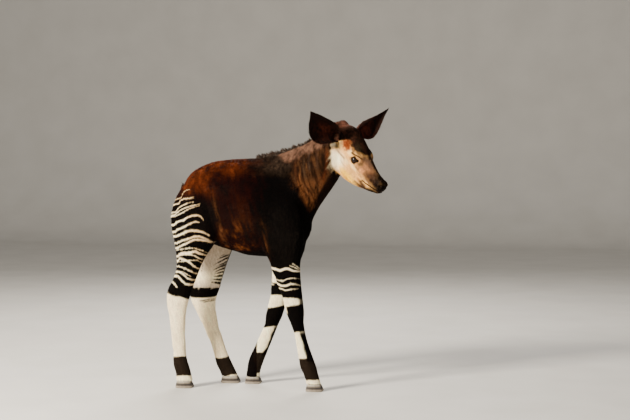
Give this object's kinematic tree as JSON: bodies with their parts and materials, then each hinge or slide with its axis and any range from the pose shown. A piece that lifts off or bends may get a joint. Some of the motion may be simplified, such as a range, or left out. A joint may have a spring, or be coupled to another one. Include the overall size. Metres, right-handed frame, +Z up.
{
  "type": "okapi calf",
  "caption": "Life-size okapi calf in mid stride, head lowered and turned to its right, one ear back, with striped haunches and legs, a short upright mane and a slim tail.",
  "frame": {"origin": "On the floor, under the middle of the bounding box", "axes": "+X the way the calf walks, +Y its left side, +Z up"},
  "size_m": [1.0402, 0.3578, 1.3013],
  "materials": {
    "dark_coat": "short velvety coat, black-brown to mahogany",
    "face_coat": "short coat, cream cheek, dark forehead and muzzle",
    "striped_coat": "short coat, thin cream stripes on black",
    "white_coat": "short coat, white with dark fetlocks",
    "ear_coat": "short dark coat, reddish inside",
    "hair": "coarser dark hair in locks",
    "eye": "wet and glossy, very dark",
    "hoof": "dark horn, satin"
  },
  "bodies": {
    "root": {"head": "face_coat", "neck": "dark_coat", "torso": "dark_coat", "mane": "hair", "tail": "hair", "ear_left": "ear_coat", "ear_right": "ear_coat", "eye_left": "eye", "eye_right": "eye", "foreleg_left_upper": "striped_coat", "foreleg_right_upper": "striped_coat", "hindleg_left_upper": "striped_coat", "hindleg_right_upper": "striped_coat", "foreleg_left_lower": "white_coat", "foreleg_right_lower": "white_coat", "hindleg_left_lower": "white_coat", "hindleg_right_lower": "white_coat", "hoof_fore_left_inner": "hoof", "hoof_fore_left_outer": "hoof", "hoof_fore_right_inner": "hoof", "hoof_fore_right_outer": "hoof", "hoof_hind_left_inner": "hoof", "hoof_hind_left_outer": "hoof", "hoof_hind_right_inner": "hoof", "hoof_hind_right_outer": "hoof"}
  },
  "joints": []
}
